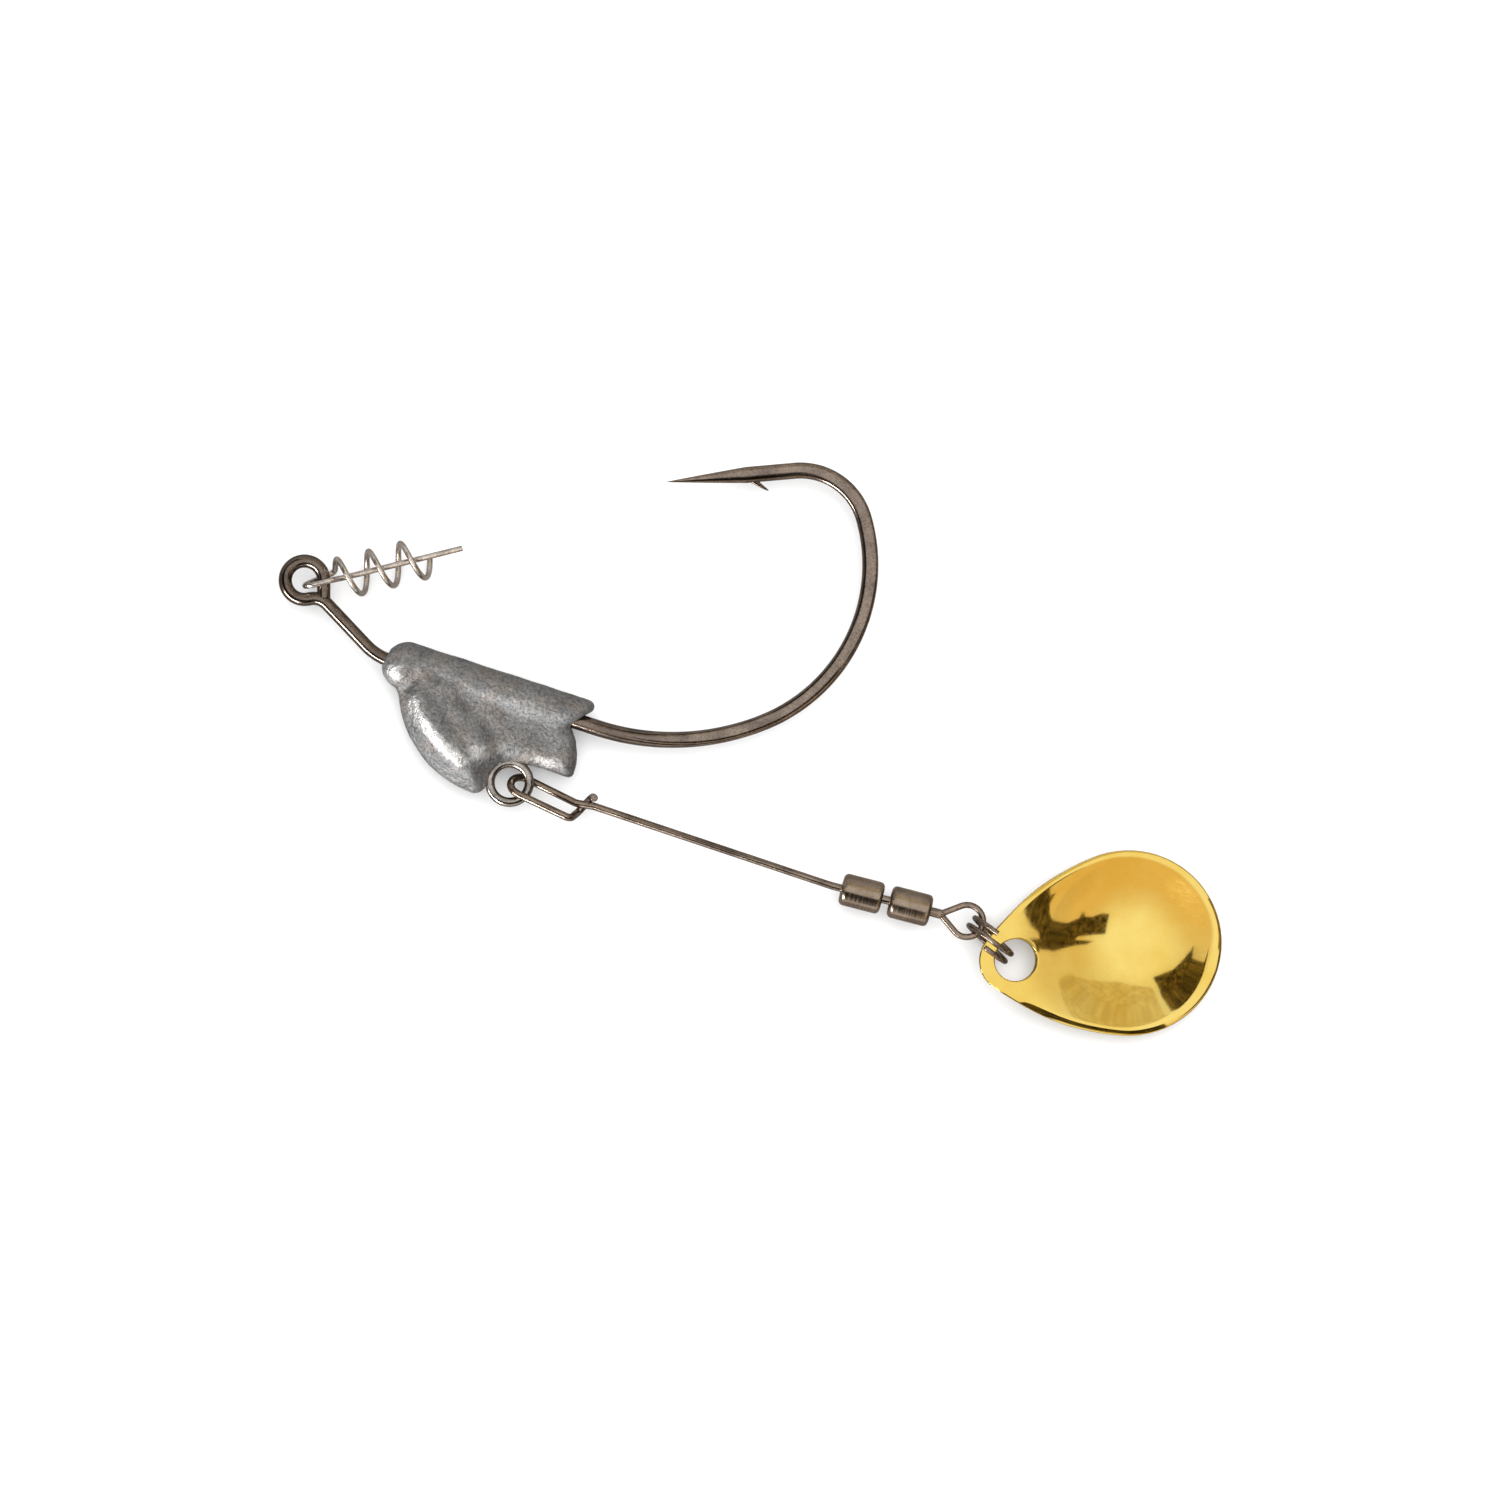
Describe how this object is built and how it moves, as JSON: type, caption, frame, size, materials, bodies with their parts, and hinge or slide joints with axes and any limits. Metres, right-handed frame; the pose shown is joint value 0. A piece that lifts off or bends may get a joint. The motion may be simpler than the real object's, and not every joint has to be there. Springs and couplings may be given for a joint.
{
  "type": "spoon lure",
  "caption": "Weighted swimbait hook with a coil bait keeper and a small spoon blade that spins on a clip-on wire arm under the belly.",
  "frame": {"origin": "centre of the hook's line eye, in the plane of the hook", "axes": "+X along the straight shank from the eye's end towards the bend, +Y in the plane of the hook towards the point, +Z square to that plane; the part is stored lying on its side, so -Z is down"},
  "size_m": [0.1064, 0.0477, 0.006],
  "materials": {
    "hook_wire": "black nickel, slightly brushed",
    "cast_lead": "bare cast lead, grainy with burnished patches",
    "bright_wire": "bright drawn stainless wire",
    "arm_wire": "black nickel, polished",
    "barrel_plating": "black nickel over brass, polished",
    "ring_wire": "black nickel, polished",
    "gold_plate": "gold plated and mirror polished"
  },
  "bodies": {
    "root": {"hook": "hook_wire", "belly_weight": "cast_lead", "hanger_loop": "bright_wire"},
    "keeper": {"bait_keeper": "bright_wire"},
    "arm": {"clip_arm": "arm_wire"},
    "front_barrel": {"front_barrel": "barrel_plating"},
    "link": {"swivel_link": "arm_wire"},
    "rear_barrel": {"rear_barrel": "barrel_plating"},
    "eye": {"swivel_eye": "arm_wire"},
    "ring": {"split_ring": "ring_wire"},
    "blade": {"blade": "gold_plate"}
  },
  "joints": [
    {"name": "keeper_swing", "type": "hinge", "parent": "root", "child": "keeper", "pos_m": [0, 0, 0], "axis": [0, 0, 1], "range_deg": [-20, 260]},
    {"name": "arm_swing", "type": "hinge", "parent": "root", "child": "arm", "pos_m": [0.02705, -0.01355, 0], "axis": [0, 0, 1], "range_deg": [-110, 12]},
    {"name": "front_barrel_spin", "type": "hinge", "parent": "arm", "child": "front_barrel", "pos_m": [0.06582, -0.01322, 0], "axis": [0.9982, 0.0593, 0], "continuous": true},
    {"name": "link_spin", "type": "hinge", "parent": "front_barrel", "child": "link", "pos_m": [0.06844, -0.01306, 0], "axis": [0.9982, 0.0593, 0], "continuous": true},
    {"name": "rear_barrel_spin", "type": "hinge", "parent": "link", "child": "rear_barrel", "pos_m": [0.07104, -0.01291, 0], "axis": [0.9982, 0.0593, 0], "continuous": true},
    {"name": "swivel_eye_spin", "type": "hinge", "parent": "rear_barrel", "child": "eye", "pos_m": [0.07403, -0.01273, 0], "axis": [0.9982, 0.0593, 0], "continuous": true},
    {"name": "split_ring_swing", "type": "hinge", "parent": "eye", "child": "ring", "pos_m": [0.07721, -0.01254, 0], "axis": [0, 0, 1], "range_deg": [-90, 90]},
    {"name": "blade_flap", "type": "hinge", "parent": "ring", "child": "blade", "pos_m": [0.08013, -0.01364, 0], "axis": [-0.3665, -0.9304, 0], "range_deg": [-75, 60]}
  ]
}
